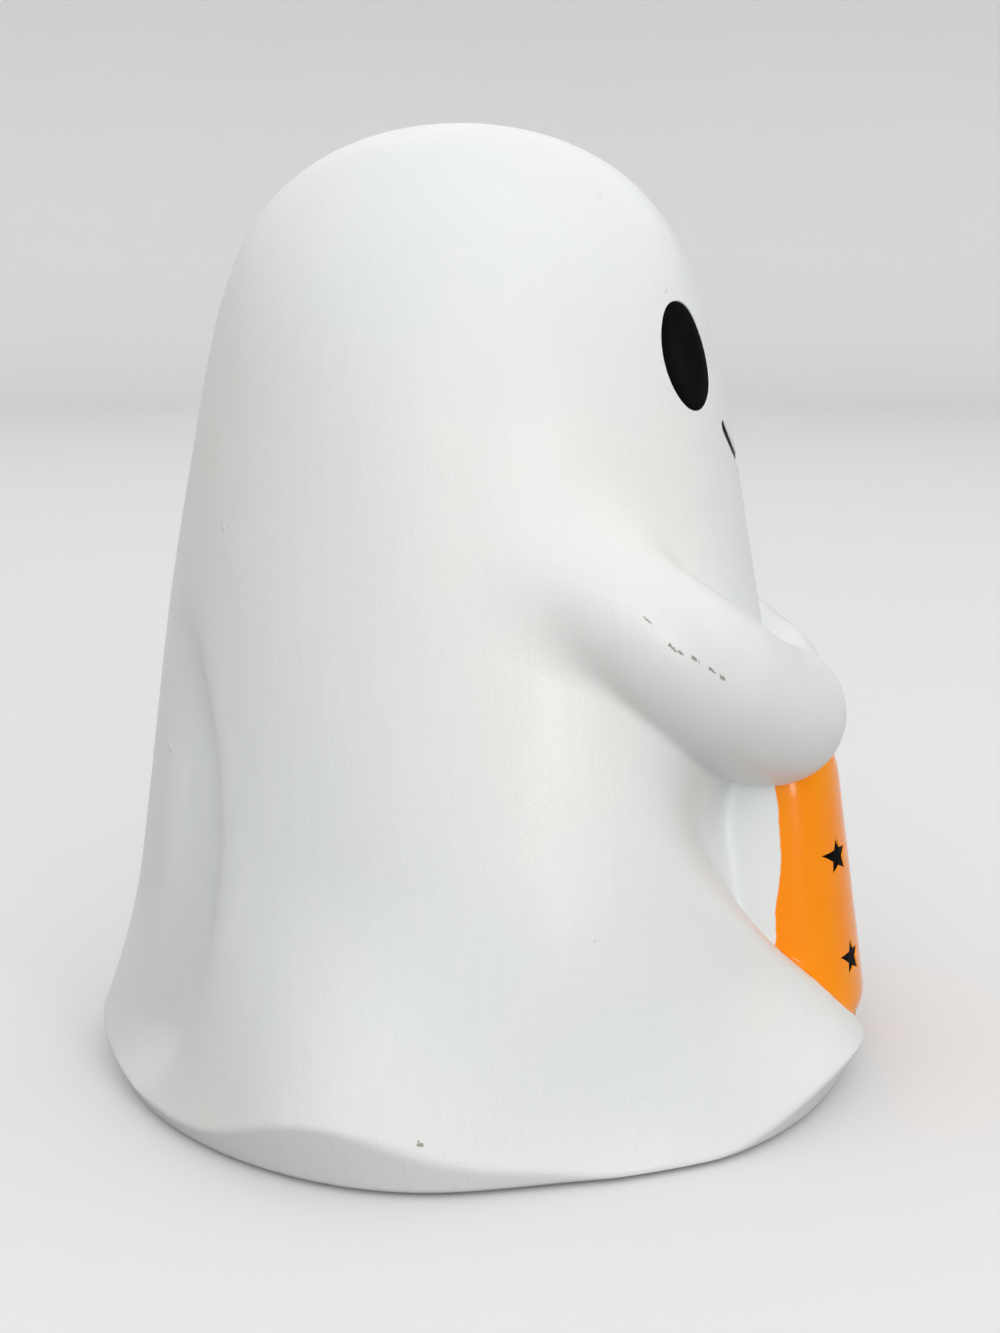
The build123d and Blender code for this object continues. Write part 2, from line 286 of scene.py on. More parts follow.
# Meshes worked out from fields: lattice, seam on the sheet, root hidden under it, and margins of the boxes
NET_STEP = 0.75
COARSE = 4
NEAR_STEPS = 2.5
SEAM = 0.012
ROOT_DEPTH = 2.5
ROOT_MARGIN = 0.5
BURIED = 0.12
BURIED_SHARE = 0.45
ARM_BOX_MARGIN = 4.0
BAG_BOX_MARGIN = 9.0
BAG_BOX_FRONT = 3.0
BAG_BOX_BACK = -38.0
SETTLE_PROBE = 0.02
SETTLE_ROUNDS = 4
SETTLE_LEAST_SLOPE = 0.05
SETTLE_MOST_STEP = 0.5
SEARCH_REACH = 30.0
SEARCH_ROUNDS = 40

# Cleaning of meshes: angle of a sharp edge, and distances in metres
SHARP_ANGLE = 38.0
WELD = 1e-7
FLAT = 1e-8
FLOOR_WELD = 1e-6


# Shape of the sheet


def fade(share):
    """Go smoothly from 0 to 1 while the share goes from 0 to 1."""
    share = np.clip(share, 0.0, 1.0)
    return share * share * (3.0 - 2.0 * share)


def bell(degrees, spread):
    """Bell curve of an angle."""
    turned = (degrees + 180.0) % 360.0 - 180.0
    return np.exp(-((turned / spread) ** 2))


def on_both_sides(degrees, angle, spread):
    """Bell curves at an angle on the right side and on the left side."""
    if angle in (0.0, 180.0):
        return bell(degrees - angle, spread)
    return bell(degrees - angle, spread) + bell(degrees + angle, spread)


def half_size(z, waist, flare, crown):
    """Half size of the sheet at a height, for the width or for the depth."""
    above = z - WAIST_HEIGHT
    blend = np.hypot(above, TAPER_BLEND) - TAPER_BLEND
    size = waist - (HEAD_TAPER + SKIRT_TAPER) / 2 * above
    size = size - (HEAD_TAPER - SKIRT_TAPER) / 2 * blend
    size = size + flare * np.exp(-z / HEM_FLARE_HEIGHT)
    rise = np.clip(above / (crown - WAIST_HEIGHT), 0.0, 1.0)
    return size * np.sqrt(1.0 - rise**CROWN_POWER)


def fold_push(degrees, z):
    """How far the folds push the sheet out at an angle and a height."""
    turn = np.radians(degrees)
    push = 0.0
    for waves, length, phase in WAVERS:
        push = push + WAVER * np.cos(waves * turn) * np.sin(z / length + phase)
    for angle, spread, amount, full, gone in FOLDS:
        strength = fade((gone - z) / (gone - full))
        push = push + amount * strength * on_both_sides(degrees, angle, spread)
    aside = np.abs((degrees + 180.0) % 360.0 - 180.0)
    return push - belly_depth(aside, z) - valley_depth(aside, z)


def valley_depth(aside, z):
    """Depth of the long fold behind each side."""
    behind = aside - VALLEY_ANGLE - VALLEY_BEND * (z - VALLEY_BEND_HEIGHT) ** 2
    side = VALLEY_SPREAD_SIDE + VALLEY_SPREAD_FOOT * fade(1.0 - z / VALLEY_BEND_HEIGHT)
    spread = np.where(behind > 0.0, VALLEY_SPREAD_BEHIND, side)
    strength = fade((VALLEY_TOP - z) / (VALLEY_TOP - VALLEY_FULL)) * fade(z / VALLEY_FOOT)
    return VALLEY_DEPTH * strength * np.exp(-((behind / spread) ** 2))


def belly_depth(aside, z):
    """How far the belly lies behind the sheet, inside the parting."""
    edge = BELLY_EDGE + BELLY_EDGE_SLOPE * (z - BELLY_EDGE_HEIGHT)
    edge = np.maximum(lesser(edge, BELLY_EDGE_MOST, BELLY_EDGE_BLEND), BELLY_EDGE_LEAST)
    width = BELLY_EDGE_WIDTH + BELLY_EDGE_WIDEN * np.maximum(z - BELLY_EDGE_HEIGHT, 0.0)
    inside = fade((edge - aside) / width)
    return BELLY_DEPTH * inside * fade((BELLY_TOP - z) / (BELLY_TOP - BELLY_FULL))


def setback(z):
    """How far behind the base's centre the sheet's middle stands."""
    return HEAD_SETBACK * (1.0 - np.exp(-z / SETBACK_HEIGHT))


def sheet_points(degrees, z, inset=0.0):
    """Points of the sheet, or of a surface set in from it."""
    degrees, z = np.broadcast_arrays(np.asarray(degrees, float), np.asarray(z, float))
    crown = FIGURE_HEIGHT - inset
    push = fold_push(degrees, z)
    along_x = half_size(z, WAIST_HALF_WIDTH - inset, HEM_FLARE_WIDTH, crown) + push
    along_y = half_size(z, WAIST_HALF_DEPTH - inset, HEM_FLARE_DEPTH, crown) + push
    turn = np.radians(degrees)
    return np.stack([-along_x * np.sin(turn), setback(z) - along_y * np.cos(turn), z], axis=-1)


def sheet_field(points):
    """About how far points are outside the sheet."""
    x, y, z = np.moveaxis(points, -1, 0)
    along_x = half_size(z, WAIST_HALF_WIDTH, HEM_FLARE_WIDTH, FIGURE_HEIGHT)
    along_y = half_size(z, WAIST_HALF_DEPTH, HEM_FLARE_DEPTH, FIGURE_HEIGHT)
    y = y - setback(z)
    degrees = np.degrees(np.arctan2(-x / along_x, -y / along_y))
    push = fold_push(degrees, z)
    share = np.hypot(x / (along_x + push), y / (along_y + push))
    return (share - 1.0) * (along_x + along_y) / 2


def foot_share(points, inset=0.0):
    """How far out points are, as a share of the foot's trim ring at their height."""
    x, y, z = np.moveaxis(points, -1, 0)
    degrees = np.degrees(np.arctan2(-x, -y))
    radius = FOOT_RADIUS - inset - FOOT_DENT * on_both_sides(degrees, FOOT_DENT_ANGLE, FOOT_DENT_SPREAD)
    return np.hypot(x / (radius + FOOT_UNDERCUT_SIDE * z), y / (radius + FOOT_UNDERCUT_FRONT * z))


def foot_field(points):
    """About how far points are outside the foot's trim ring."""
    return (foot_share(points) - 1.0) * FOOT_RADIUS


# Arms and bag as distance fields


def lesser(first, second, reach):
    """Smaller of two fields, with a rounded corner of that reach where they are close."""
    close = np.maximum(reach - np.abs(first - second), 0.0) / reach
    return np.minimum(first, second) - close**3 * reach / 6.0


def arm_line(count=70):
    """Middle line of the right arm and its radius along it."""
    stations = (SHOULDER, ELBOW, FOREARM)
    corners = []
    for degrees, height, standoff, _ in stations:
        turn = math.radians(degrees)
        outwards = np.array([-math.sin(turn), -math.cos(turn), 0.0])
        corners.append(sheet_points(degrees, height) + outwards * standoff)
    front = sheet_points(0.0, HAND_HEIGHT)[1]
    corners.append(np.array([-HAND_RADIUS - HANDS_GAP / 2, front - HAND_STANDOFF, HAND_HEIGHT]))
    corners = np.array(corners)
    radii = [station[3] for station in stations] + [HAND_RADIUS]
    lengths = np.linalg.norm(np.diff(corners, axis=0), axis=1)
    marks = np.concatenate([[0.0], np.cumsum(lengths)]) / lengths.sum()
    shares = np.linspace(0.0, 1.0, count)
    line = np.stack([np.polyval(np.polyfit(marks, corners[:, i], 3), shares) for i in range(3)], axis=-1)
    return line, np.interp(shares, marks, radii)


ARM_LINE, ARM_RADII = arm_line()


def arm_field(points):
    """Distance outside the right arm, and how far along it the nearest point is."""
    best = np.full(points.shape[:-1], 1e9)
    along = np.zeros(points.shape[:-1])
    last = len(ARM_LINE) - 1
    for index in range(last):
        start, run = ARM_LINE[index], ARM_LINE[index + 1] - ARM_LINE[index]
        share = np.clip((points - start) @ run / (run @ run), 0.0, 1.0)
        gap = np.linalg.norm(points - start - share[..., None] * run, axis=-1)
        gap = gap - ARM_RADII[index] - share * (ARM_RADII[index + 1] - ARM_RADII[index])
        nearer = gap < best
        best = np.where(nearer, gap, best)
        along = np.where(nearer, (index + share) / last, along)
    return best, along


def arm_piece_field(points):
    """Field of the right arm's piece: the sleeve, its soft root on the sheet and a thin hidden root."""
    sheet = sheet_field(points)
    arm, along = arm_field(points)
    reach = ARM_BLEND + (SHOULDER_BLEND - ARM_BLEND) * fade(1.0 - along / SHOULDER_SHARE)
    return rooted(sheet, arm, reach)


def rooted(sheet, shape, reach):
    """Field of a shape with a soft root on the sheet, which dives under it where the blend ends."""
    close = np.maximum(1.0 - np.abs(sheet - shape) / reach, 0.0)
    buried = BURIED * np.maximum(1.0 - close / BURIED_SHARE, 0.0) ** 2 * (shape > sheet)
    outside = lesser(sheet, shape, reach) + SEAM + buried
    return np.maximum(np.maximum(outside, -sheet - ROOT_DEPTH), shape - reach - ROOT_MARGIN)


def bag_sizes(z):
    """Half width, half depth and middle of the bag at a height."""
    above = z - BAG_BOTTOM
    left = np.clip(1.0 - above / BAG_ROUND, 0.0, 1.0)
    swell = BAG_SEAT + (1.0 - BAG_SEAT) * np.sqrt(1.0 - left * left)
    full_depth = BAG_HALF_DEPTH - BAG_TAPER_DEPTH * above
    half_width = (BAG_HALF_WIDTH - BAG_TAPER_WIDTH * above) * swell
    middle = full_depth - BAG_FRONT + BAG_LEAN * above
    return half_width, full_depth * swell, middle


def bag_field(points):
    """About how far points are outside the bag."""
    x, y, z = np.moveaxis(points, -1, 0)
    half_width, half_depth, middle = bag_sizes(z)
    across = np.abs(x / half_width) ** BAG_SQUARENESS
    along = np.abs((y - middle) / half_depth) ** BAG_SQUARENESS
    side = ((across + along) ** (1.0 / BAG_SQUARENESS) - 1.0) * half_depth
    rounded = -lesser(-side, BAG_BOTTOM + BAG_HEIGHT - z, BAG_TOP_ROUND)
    return np.maximum(rounded, BAG_BOTTOM - z)


def bag_piece_field(points):
    """Field of the bag's piece, with a soft root on the belly and a thin hidden root."""
    sheet = np.maximum(sheet_field(points), foot_field(points))
    rise = fade((points[..., 2] - BAG_BLEND_FROM) / (BAG_BLEND_FULL - BAG_BLEND_FROM))
    return rooted(sheet, bag_field(points), BAG_BLEND_LOW + (BAG_BLEND - BAG_BLEND_LOW) * rise)


# Meshes


def surface_net(field, low, high, step):
    """Closed quad mesh of the surface where a field is zero, inside a box."""
    axes = [np.arange(low[i], high[i] + step, step) for i in range(3)]
    lattice = np.stack(np.meshgrid(*axes, indexing="ij"), axis=-1)
    values = near_values(field, lattice, step)
    inside = values < 0.0
    cells = tuple(np.array(values.shape) - 1)
    total = np.zeros(cells + (3,))
    count = np.zeros(cells)
    corners = [(i, j, k) for i in (0, 1) for j in (0, 1) for k in (0, 1)]

    def at(array, corner):
        return array[tuple(slice(c, c + n) for c, n in zip(corner, cells))]

    for first in corners:
        for axis in range(3):
            if first[axis]:
                continue
            second = tuple(c + (i == axis) for i, c in enumerate(first))
            crossed = at(inside, first) != at(inside, second)
            one, two = at(values, first), at(values, second)
            share = np.where(crossed, one / np.where(crossed, one - two, 1.0), 0.0)
            start, end = at(lattice, first), at(lattice, second)
            total += np.where(crossed[..., None], start + share[..., None] * (end - start), 0.0)
            count += crossed
    used = count > 0
    number = np.full(cells, -1)
    number[used] = np.arange(used.sum())
    points = total[used] / count[used][:, None]
    faces = []
    for axis in range(3):
        others = [i for i in range(3) if i != axis]
        lower = [slice(None)] * 3
        upper = [slice(None)] * 3
        lower[axis], upper[axis] = slice(0, -1), slice(1, None)
        crossed = inside[tuple(lower)] != inside[tuple(upper)]
        for i in others:
            trim = [slice(None)] * 3
            trim[i] = slice(1, -1)
            crossed = crossed[tuple(trim)]
        where = np.argwhere(crossed)
        for i in others:
            where[:, i] += 1
        ring = []
        for back_a, back_b in ((1, 1), (0, 1), (0, 0), (1, 0)):
            cell = where.copy()
            cell[:, others[0]] -= back_a
            cell[:, others[1]] -= back_b
            ring.append(number[tuple(cell.T)])
        faces.append(np.stack(ring, axis=-1))
    return settle(points, field, step), np.concatenate(faces)


def near_values(field, lattice, step):
    """Field on a lattice, worked out in full only near its surface."""
    coarse = lattice[::COARSE, ::COARSE, ::COARSE]
    rough = field(coarse)
    for axis, size in enumerate(lattice.shape[:3]):
        rough = np.repeat(rough, COARSE, axis=axis)
        rough = np.take(rough, np.arange(size), axis=axis)
    near = np.abs(rough) < NEAR_STEPS * COARSE * step
    values = rough.copy()
    values[near] = field(lattice[near])
    return values


def settle(points, field, step):
    """Move points onto the surface where a field is zero."""
    for _ in range(SETTLE_ROUNDS):
        value = field(points)
        probes = [field(points + SETTLE_PROBE * axis) for axis in np.eye(3)]
        slope = np.stack([(probe - value) / SETTLE_PROBE for probe in probes], axis=-1)
        move = (value / np.maximum((slope**2).sum(-1), SETTLE_LEAST_SLOPE))[:, None] * slope
        length = np.linalg.norm(move, axis=1, keepdims=True)
        points = points - move * np.minimum(1.0, SETTLE_MOST_STEP * step / np.maximum(length, 1e-9))
    return points


def closed_mesh(name, points, faces, weld):
    """Closed mesh object with its normals outwards, and its close points welded if asked."""
    mesh = bpy.data.meshes.new(name)
    mesh.from_pydata((points * MM).tolist(), [], faces)
    shape = bmesh.new()
    shape.from_mesh(mesh)
    if weld:
        bmesh.ops.remove_doubles(shape, verts=shape.verts, dist=WELD)
        bmesh.ops.dissolve_degenerate(shape, edges=shape.edges, dist=FLAT)
    bmesh.ops.recalc_face_normals(shape, faces=shape.faces)
    shape.to_mesh(mesh)
    shape.free()
    piece = bpy.data.objects.new(name, mesh)
    bpy.context.scene.collection.objects.link(piece)
    return piece


def add_mesh(name, points, faces):
    """Closed smooth mesh object with its close points welded."""
    piece = closed_mesh(name, points, faces.tolist(), weld=True)
    smooth(piece)
    return piece


def smooth(piece):
    """Smooth shading, with edges kept where the surface turns sharply."""
    piece.data.shade_smooth()
    piece.data.set_sharp_from_angle(angle=math.radians(SHARP_ANGLE))


def wrapped_rows(rows, columns):
    """Quads between closed rows of points."""
    row, column = np.meshgrid(np.arange(rows - 1), np.arange(columns), indexing="ij")
    following = (column + 1) % columns
    quads = [row * columns + column, row * columns + following]
    quads += [(row + 1) * columns + following, (row + 1) * columns + column]
    return np.stack(quads, axis=-1).reshape(-1, 4)


def trimmed(points, inset=0.0):
    """Points drawn in to the foot's trim ring, with a rubbed edge."""
    x, y, z = np.moveaxis(points, -1, 0)
    share = foot_share(points, inset)
    keep = lesser(np.ones_like(share), 1.0 / np.maximum(share, 1e-6), HEM_ROUND / FOOT_RADIUS)
    height = np.clip(z - FOOT_LEVEL, 0.0, FOOT_ROUND)
    rubbed = FOOT_ROUND - np.sqrt(FOOT_ROUND**2 - (FOOT_ROUND - height) ** 2)
    keep = keep * (1.0 - rubbed / np.maximum(np.hypot(x, y), 1.0))
    return np.concatenate([points[..., :2] * keep[..., None], points[..., 2:]], axis=-1)


def column_angles():
    """Angles of the body's columns, which stand closer together in the rear valleys."""
    fine = np.linspace(0.0, 360.0, 3601)
    density = 1.0 + VALLEY_COLUMNS * on_both_sides(fine, VALLEY_ANGLE, VALLEY_COLUMN_SPREAD)
    total = np.concatenate([[0.0], np.cumsum((density[1:] + density[:-1]) / 2)])
    return np.interp(np.linspace(0.0, total[-1], COLUMNS, endpoint=False), total, fine)


def body_points():
    """Rows of the whole casting: outside down to the foot, underside, hole and hollow."""
    degrees = column_angles()[None]
    rise = np.sin(np.radians(np.linspace(90.0, HEAD_END_ANGLE, HEAD_ROWS)[1:]))
    head = WAIST_HEIGHT + (FIGURE_HEIGHT - WAIST_HEIGHT) * rise
    side = np.linspace(head[-1], SKIRT_START, SIDE_ROWS)[1:]
    skirt = np.linspace(SKIRT_START, FOOT_LEVEL, SKIRT_ROWS)[1:]
    levels = np.concatenate([head, side, skirt])
    outside = trimmed(sheet_points(degrees, levels[:, None]))
    foot = outside[-1]
    turn = np.radians(degrees[0])
    hole = np.stack([-POUR_HOLE_RADIUS * np.sin(turn), -POUR_HOLE_RADIUS * np.cos(turn), 0 * turn], axis=-1)
    rows = list(outside)
    for share in np.linspace(0.0, 1.0, UNDERSIDE_ROWS)[1:]:
        rows.append((1.0 - share) * foot + share * (hole + [0.0, 0.0, FOOT_LEVEL]))
    rows.append(hole + [0.0, 0.0, (FOOT_LEVEL + BASE_THICKNESS) / 2])
    top = sheet_points(degrees, np.array([[BASE_THICKNESS]]), WALL)
    edge = trimmed(top, WALL)[0]
    for share in np.linspace(0.0, 1.0, BASE_ROWS):
        rows.append((1.0 - share) * (hole + [0.0, 0.0, BASE_THICKNESS]) + share * edge)
    rise = np.sin(np.radians(np.linspace(0.0, 90.0, HOLLOW_CROWN_ROWS)[:-1]))
    inner_side = np.linspace(BASE_THICKNESS, WAIST_HEIGHT, HOLLOW_ROWS)[1:-1]
    inner_head = WAIST_HEIGHT + (FIGURE_HEIGHT - WALL - WAIST_HEIGHT) * rise
    inner = np.concatenate([inner_side, inner_head])
    rows += list(trimmed(sheet_points(degrees, inner[:, None], WALL), WALL))
    return np.array(rows)


def make_body():
    """The casting, before its recesses are cut."""
    rows = body_points()
    count, columns = rows.shape[:2]
    points = rows.reshape(-1, 3)
    faces = wrapped_rows(count, columns).tolist()
    crowns = [(0.0, setback(top), top) for top in (FIGURE_HEIGHT, FIGURE_HEIGHT - WALL)]
    points = np.concatenate([points, np.array(crowns)])
    first, last = len(points) - 2, len(points) - 1
    base = (count - 1) * columns
    for column in range(columns):
        following = (column + 1) % columns
        faces.append([first, following, column])
        faces.append([last, base + column, base + following])
    return closed_mesh("ghost_body", points, faces, weld=False)


def carve(piece, cutters):
    """Cut closed shapes out of a piece and delete them."""
    bpy.ops.object.select_all(action="DESELECT")
    for cutter in cutters:
        cutter.select_set(True)
    bpy.context.view_layer.objects.active = cutters[0]
    if len(cutters) > 1:
        bpy.ops.object.join()
    cutter = bpy.context.view_layer.objects.active
    step = piece.modifiers.new("recesses", "BOOLEAN")
    step.operation = "DIFFERENCE"
    step.solver = "EXACT"
    step.object = cutter
    graph = bpy.context.evaluated_depsgraph_get()
    mesh = bpy.data.meshes.new_from_object(piece.evaluated_get(graph))
    piece.modifiers.clear()
    piece.data = mesh
    bpy.data.objects.remove(cutter)
    smooth(piece)


# Thin slabs on the face and on the bag


def depth_along(points, direction, field, inset):
    """Slide points along a direction to where a field falls to minus the inset."""
    low = np.full(points.shape[:-1], -SEARCH_REACH)
    high = np.full(points.shape[:-1], SEARCH_REACH)
    for _ in range(SEARCH_ROUNDS):
        middle = (low + high) / 2
        deep = field(points + middle[..., None] * direction) < -inset
        low, high = np.where(deep, middle, low), np.where(deep, high, middle)
    return points + ((low + high) / 2)[..., None] * direction


def slab(name, outline, spine, place, layers, rings=7):
    """Closed thin piece over a flat outline, in layers from the top down."""
    outline, spine = np.asarray(outline, float), np.asarray(spine, float)
    count = len(outline)
    outwards = outline - spine
    outwards = outwards / np.maximum(np.linalg.norm(outwards, axis=1, keepdims=True), 1e-9)
    shares = np.linspace(0.0, 1.0, rings + 1)
    rows = []
    top_inset, top_growth, dish = layers[0]
    for share in shares:
        flat = spine + share * (outline + outwards * top_growth - spine)
        rows.append(place(flat, top_inset + dish * fade(1.0 - share)))
    for inset, growth, _ in layers[1:]:
        rows.append(place(outline + outwards * growth, inset))
    bottom_inset, bottom_growth, _ = layers[-1]
    for share in shares[::-1][1:]:
        rows.append(place(spine + share * (outline + outwards * bottom_growth - spine), bottom_inset))
    return add_mesh(name, np.array(rows).reshape(-1, 3), wrapped_rows(len(rows), count))


def oval(width, height, count=120):
    """Points of an oval round its middle, and the middle for each."""
    turn = np.linspace(0.0, 2 * np.pi, count, endpoint=False)
    outline = np.stack([width / 2 * np.cos(turn), height / 2 * np.sin(turn)], axis=-1)
    brushed = 1.0
    for degrees, spread, share in EYE_WAVES:
        brushed = brushed + share * bell(np.degrees(turn) - degrees, spread)
    return outline * np.broadcast_to(brushed, turn.shape)[:, None], np.zeros_like(outline)


def on_eye(side):
    """Place flat points of an eye on the head."""
    turn = math.radians(EYE_ANGLE)
    middle = sheet_points(EYE_ANGLE, EYE_LEVEL)
    across = np.array([math.cos(turn), -math.sin(turn), 0.0])
    outwards = np.array([-math.sin(turn), -math.cos(turn), 0.0])
    flip = np.array([side, 1.0, 1.0])

    def place(flat, inset):
        points = middle + flat[:, :1] * across + flat[:, 1:] * np.array([0.0, 0.0, 1.0])
        return depth_along(points, outwards, sheet_field, inset) * flip

    return place


def smile_line(count=90):
    """Points round the smile's line, and the nearest points of its middle line."""
    half = SMILE_WIDTH / 2
    radius = (half * half + SMILE_DROP * SMILE_DROP) / (2 * SMILE_DROP)
    end = math.asin(half / radius)
    turn = np.linspace(-end, end, count)
    middle = np.stack([radius * np.sin(turn), SMILE_LEVEL + radius * (1.0 - np.cos(turn))], axis=-1)
    across = np.stack([np.sin(turn), -np.cos(turn)], axis=-1) * SMILE_LINE / 2
    return band(middle, across)


def band(middle, across, steps=10):
    """Outline of a line with round ends, and the middle line for each point."""
    outline, spine = list(middle + across), list(middle)
    for which, sign in ((-1, 1.0), (0, -1.0)):
        start = sign * across[which]
        side = np.array([-start[1], start[0]])
        for step in range(1, steps):
            turn = math.pi * step / steps
            outline.append(middle[which] + start * math.cos(turn) + side * math.sin(turn))
            spine.append(middle[which])
        if which == -1:
            outline += list(middle[::-1] - across[::-1])
            spine += list(middle[::-1])
    return np.array(outline), np.array(spine)


def on_front(field, depth):
    """Place flat points on the front of the face or of the bag."""

    def place(flat, inset):
        points = np.stack([flat[:, 0], np.full(len(flat), -depth), flat[:, 1]], axis=-1)
        return depth_along(points, np.array([0.0, -1.0, 0.0]), field, inset)

    return place


def star(x, z, steps=8):
    """Outline of a star and its middle."""
    turn = math.pi / 2 + math.pi / STAR_POINTS * np.arange(2 * STAR_POINTS)
    radius = np.where(np.arange(2 * STAR_POINTS) % 2 == 0, STAR_OUTER_RADIUS, STAR_INNER_RADIUS)
    corners = np.stack([radius * np.cos(turn), radius * np.sin(turn)], axis=-1)
    share = np.linspace(0.0, 1.0, steps, endpoint=False)[None, :, None]
    following = np.roll(corners, -1, axis=0)
    outline = (corners[:, None] * (1.0 - share) + following[:, None] * share).reshape(-1, 2)
    middle = np.array([x, z])
    return outline + middle, np.zeros_like(outline) + middle


def moon(count=60):
    """Outline of a crescent and its middle line."""
    cut = (MOON_RADIUS**2 - MOON_BITE_RADIUS**2 + MOON_BITE_SHIFT**2) / (2 * MOON_BITE_SHIFT)
    tip = math.acos(cut / MOON_RADIUS)
    bite_tip = math.atan2(MOON_RADIUS * math.sin(tip), cut - MOON_BITE_SHIFT)
    outer_turn = np.linspace(tip, 2 * math.pi - tip, count)
    inner_turn = np.linspace(2 * math.pi - bite_tip, bite_tip, count)
    outer = MOON_RADIUS * np.stack([np.cos(outer_turn), np.sin(outer_turn)], axis=-1)
    inner = MOON_BITE_RADIUS * np.stack([np.cos(inner_turn), np.sin(inner_turn)], axis=-1)
    inner[:, 0] += MOON_BITE_SHIFT
    middle = (outer + inner[::-1]) / 2
    outline = np.concatenate([outer, inner[1:-1]])
    spine = np.concatenate([middle, middle[::-1][1:-1]])
    return outline + [0.0, MOON_LEVEL], spine + [0.0, MOON_LEVEL]


def cylinder(name, radius, bottom, top, place, edge=0.0, columns=64):
    """Round disc with softened edges."""
    turn = np.linspace(0.0, 2 * np.pi, columns, endpoint=False)
    rim = radius - edge
    profile = [(0.0, bottom), (radius / 2, bottom), (rim, bottom), (radius, bottom + edge)]
    profile += [(radius, top - edge), (rim, top), (radius / 2, top), (0.0, top)]
    rows = []
    for reach, z in profile:
        x = place[0] + reach * np.cos(turn)
        y = place[1] + reach * np.sin(turn)
        rows.append(np.stack([x, y, np.full_like(turn, z)], axis=-1))
    return add_mesh(name, np.array(rows).reshape(-1, 3), wrapped_rows(len(rows), columns))


# Materials


def new_material(name):
    """Material, its node tree, its surface shader and the object's own coordinates."""
    material = bpy.data.materials.new(name)
    material.use_nodes = True
    tree = material.node_tree
    place = tree.nodes.new("ShaderNodeTexCoord").outputs["Object"]
    return material, tree, tree.nodes["Principled BSDF"], place


def feed(tree, socket, value):
    """Link a socket, or set its value."""
    if isinstance(value, bpy.types.NodeSocket):
        tree.links.new(value, socket)
    else:
        socket.default_value = value


def calc(tree, operation, first, second=0.0):
    """Result of a sum on one or two values."""
    node = tree.nodes.new("ShaderNodeMath")
    node.operation = operation
    feed(tree, node.inputs[0], first)
    feed(tree, node.inputs[1], second)
    return node.outputs[0]


def vector_calc(tree, operation, first, second, output="Vector"):
    """Result of a sum on two vectors."""
    node = tree.nodes.new("ShaderNodeVectorMath")
    node.operation = operation
    feed(tree, node.inputs[0], first)
    feed(tree, node.inputs[1], second)
    return node.outputs[output]


def step_up(tree, value, low, high, start=0.0, end=1.0):
    """Go smoothly from one value to another while the input goes from low to high."""
    node = tree.nodes.new("ShaderNodeMapRange")
    node.interpolation_type = "SMOOTHSTEP"
    for socket, given in zip(node.inputs, (value, low, high, start, end)):
        feed(tree, socket, given)
    return node.outputs["Result"]


def noise(tree, place, scale, detail=2.0, stretch=(1.0, 1.0, 1.0)):
    """Noise of a number of waves in a metre, which may be stretched along an axis."""
    if stretch != (1.0, 1.0, 1.0):
        place = vector_calc(tree, "MULTIPLY", place, stretch)
    node = tree.nodes.new("ShaderNodeTexNoise")
    feed(tree, node.inputs["Vector"], place)
    node.inputs["Scale"].default_value = scale
    node.inputs["Detail"].default_value = detail
    return node.outputs["Fac"]


def blend(tree, share, first, second):
    """Colour between two colours."""
    node = tree.nodes.new("ShaderNodeMix")
    node.data_type = "RGBA"
    feed(tree, node.inputs[0], share)
    for socket, colour in ((node.inputs[6], first), (node.inputs[7], second)):
        feed(tree, socket, (*colour, 1.0) if isinstance(colour, tuple) else colour)
    return node.outputs[2]


def bump(tree, height, strength, depth, normal=None):
    """Normal of a surface with fine relief, whose full depth is given in millimetres."""
    node = tree.nodes.new("ShaderNodeBump")
    node.inputs["Strength"].default_value = strength
    node.inputs["Distance"].default_value = depth * MM
    tree.links.new(height, node.inputs["Height"])
    if normal:
        tree.links.new(normal, node.inputs["Normal"])
    return node.outputs["Normal"]


def specks(tree, place, scale, share, size):
    """Mask of scattered round specks, in a share of the cells of a loose lattice."""
    node = tree.nodes.new("ShaderNodeTexVoronoi")
    feed(tree, node.inputs["Vector"], place)
    node.inputs["Scale"].default_value = scale
    draw = vector_calc(tree, "DOT_PRODUCT", node.outputs["Color"], (1, 0, 0), "Value")
    chosen = step_up(tree, draw, 1 - share, 1 - share + 0.01)
    return calc(tree, "MULTIPLY", chosen, step_up(tree, node.outputs["Distance"], size, size * 0.5))


def scuff(tree, place, middle, half_length, half_width):
    """Mask of a broken rub mark that lies along the right sleeve."""
    way = (Vector(SCUFF_END) - Vector(SCUFF_START)).normalized()
    offset = vector_calc(tree, "SUBTRACT", place, tuple(Vector(middle) * MM))
    along = vector_calc(tree, "DOT_PRODUCT", offset, tuple(way), "Value")
    total = calc(tree, "POWER", vector_calc(tree, "LENGTH", offset, (0, 0, 0), "Value"), 2.0)
    aside = calc(tree, "SUBTRACT", total, calc(tree, "POWER", along, 2.0))
    aside = calc(tree, "SQRT", calc(tree, "MAXIMUM", aside, 0.0))
    along = calc(tree, "DIVIDE", along, half_length * MM)
    aside = calc(tree, "DIVIDE", aside, half_width * MM)
    reach = calc(tree, "ADD", calc(tree, "POWER", along, 2.0), calc(tree, "POWER", aside, 2.0))
    ragged = calc(tree, "MULTIPLY", noise(tree, place, scale=1300.0, detail=3.0), 2.6)
    return step_up(tree, calc(tree, "ADD", calc(tree, "SQRT", reach), ragged), low=2.15, high=1.75)


